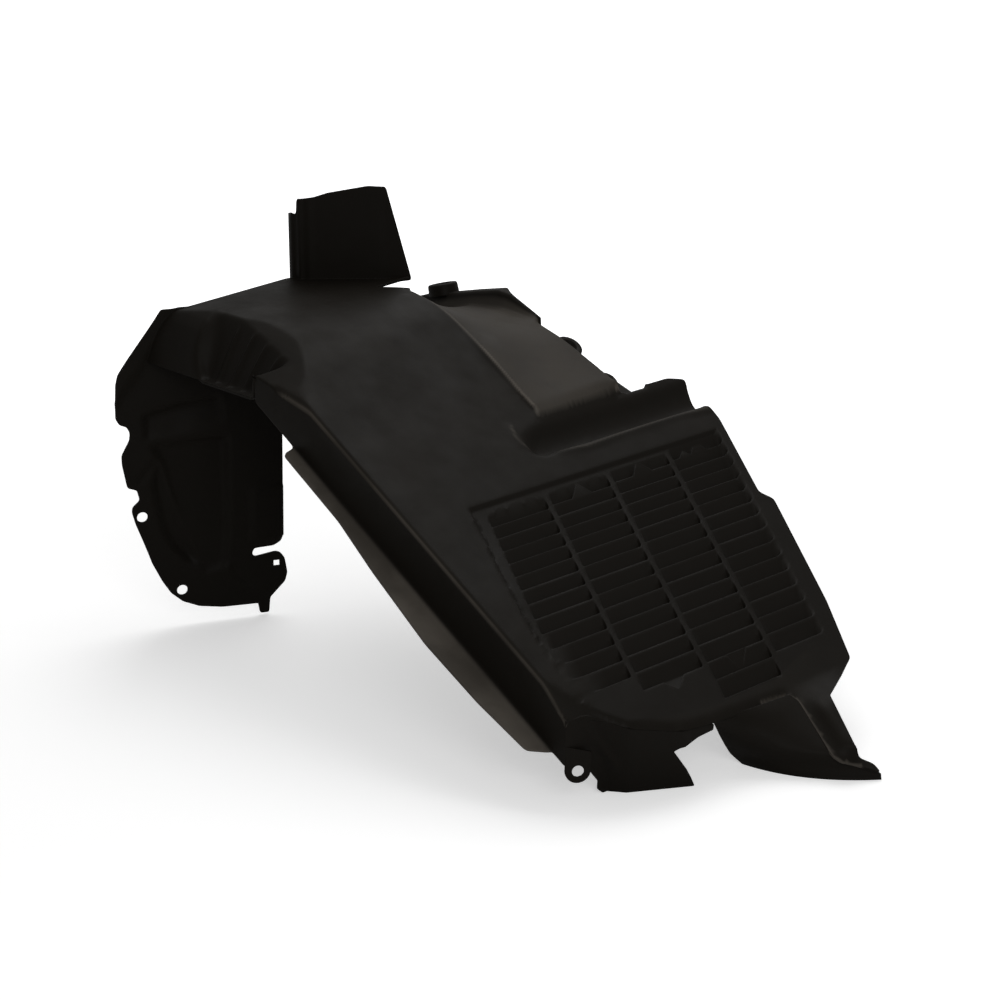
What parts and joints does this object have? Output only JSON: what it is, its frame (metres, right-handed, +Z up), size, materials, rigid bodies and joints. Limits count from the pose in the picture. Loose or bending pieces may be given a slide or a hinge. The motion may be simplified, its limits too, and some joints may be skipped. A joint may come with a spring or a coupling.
{
  "type": "inner mudguard",
  "caption": "Moulded front inner mudguard: ramped arch skin with louvres, side wall with lip flange, upright leg panel, upstand and two feet.",
  "frame": {"origin": "centre of the bounding box, at its underside, as the piece stands on its leg and feet", "axes": "+X along the car from the upright leg to the louvred leg, +Y inboard from the wheel opening, +Z up"},
  "size_m": [0.8852, 0.5382, 0.512],
  "materials": {
    "black_plastic": "satin black moulding, dusty"
  },
  "bodies": {
    "root": {"mudguard": "black_plastic"}
  },
  "joints": []
}
